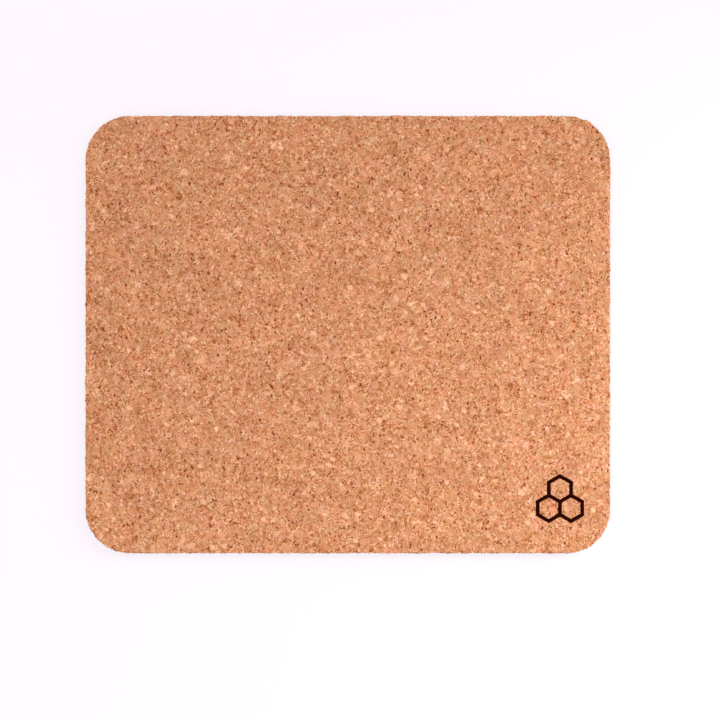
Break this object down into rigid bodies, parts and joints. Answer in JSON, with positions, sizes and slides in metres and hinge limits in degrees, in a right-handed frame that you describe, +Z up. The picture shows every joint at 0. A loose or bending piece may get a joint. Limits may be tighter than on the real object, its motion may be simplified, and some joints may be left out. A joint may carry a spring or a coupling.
{
  "type": "desk mat",
  "caption": "Rectangular cork mouse mat with rounded corners, a grippy rubber underside and a small printed corner mark.",
  "frame": {"origin": "centre of the underside, on the surface that the mat lies on", "axes": "+Z up out of the cork face, +X along the long side to the user's right, +Y away from the user; the printed mark is at the front right corner"},
  "size_m": [0.24, 0.2, 0.0041],
  "materials": {
    "rubber_base": "matt black natural rubber with a fine embossed underside",
    "adhesive": "translucent dried laminating adhesive",
    "cork": "sanded, unsealed fine-grained agglomerated cork",
    "ink": "matt black screen-printing ink soaked into the cork"
  },
  "bodies": {
    "root": {"antislip_base": "rubber_base", "adhesive_film": "adhesive", "cork_sheet": "cork", "printed_mark": "ink"}
  },
  "joints": []
}
